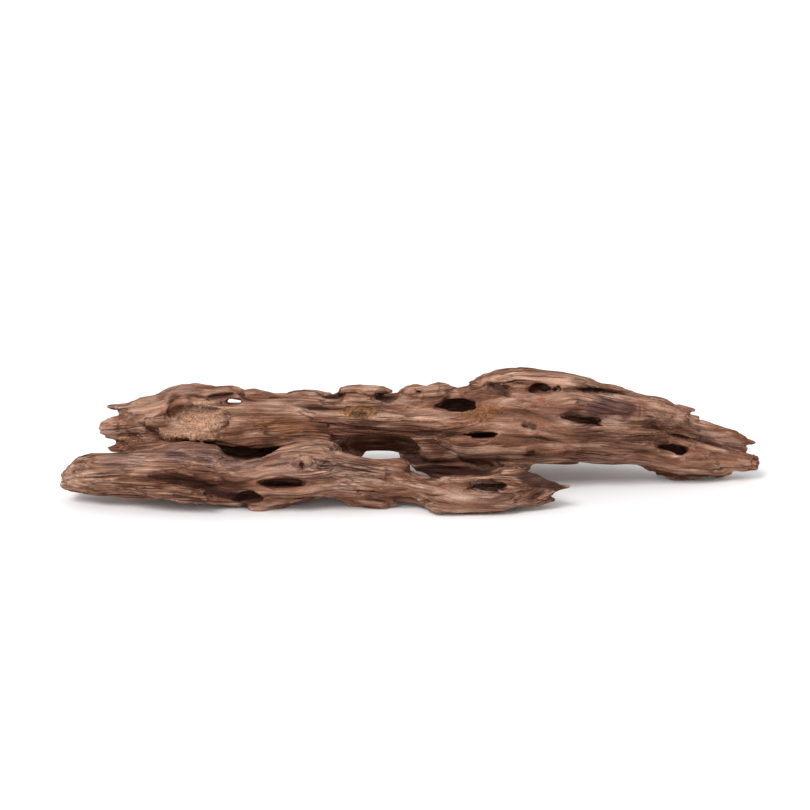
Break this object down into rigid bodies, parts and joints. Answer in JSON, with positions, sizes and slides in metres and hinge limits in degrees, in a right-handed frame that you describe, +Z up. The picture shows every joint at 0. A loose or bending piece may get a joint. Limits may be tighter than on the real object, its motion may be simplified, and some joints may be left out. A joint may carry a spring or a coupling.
{
  "type": "driftwood_piece",
  "caption": "A weathered piece of driftwood: two logs of one trunk, parted by holes and hollows, with splintered ends. It lies flat on its low knuckles.",
  "frame": {"origin": "on the surface it rests on, under the middle of its box", "axes": "+X to the right as the picture shows it, toward the splintered tips of the long end; +Y to the back, away from the front log; +Z up, away from the surface it rests on"},
  "size_m": [0.458, 0.1124, 0.0748],
  "materials": {
    "weathered_wood": "dry, rough, unsealed"
  },
  "bodies": {
    "root": {"driftwood": "weathered_wood"}
  },
  "joints": []
}
